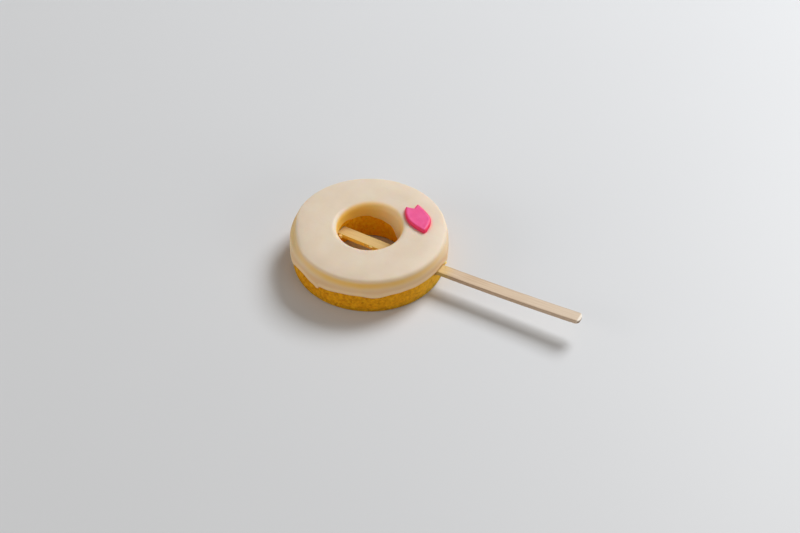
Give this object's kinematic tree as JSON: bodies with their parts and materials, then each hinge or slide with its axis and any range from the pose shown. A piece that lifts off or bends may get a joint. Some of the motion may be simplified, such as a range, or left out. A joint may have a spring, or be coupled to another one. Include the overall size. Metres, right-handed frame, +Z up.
{
  "type": "baumkuchen",
  "caption": "Small iced ring cake, baked in thin layers, with a flat wooden stick pushed through its wall and a pink sugar petal on top.",
  "frame": {"origin": "under the middle of the whole length, on the surface that the ring rests on; the ring's own axis is at x = -34 mm", "axes": "+X along the stick, from the ring to the free tip; +Z up, along the ring's axis; +Y completes the right-handed frame"},
  "size_m": [0.14, 0.072, 0.0223],
  "materials": {
    "cake": "fine baked crumb, matte",
    "icing": "smooth poured icing, satin and slightly translucent",
    "petal": "pressed sugar, soft satin",
    "stick": "raw pale wood, fine straight grain"
  },
  "bodies": {
    "root": {"cake_ring": "cake", "icing_coating": "icing", "petal_decoration": "petal", "wooden_stick": "stick"}
  },
  "joints": []
}
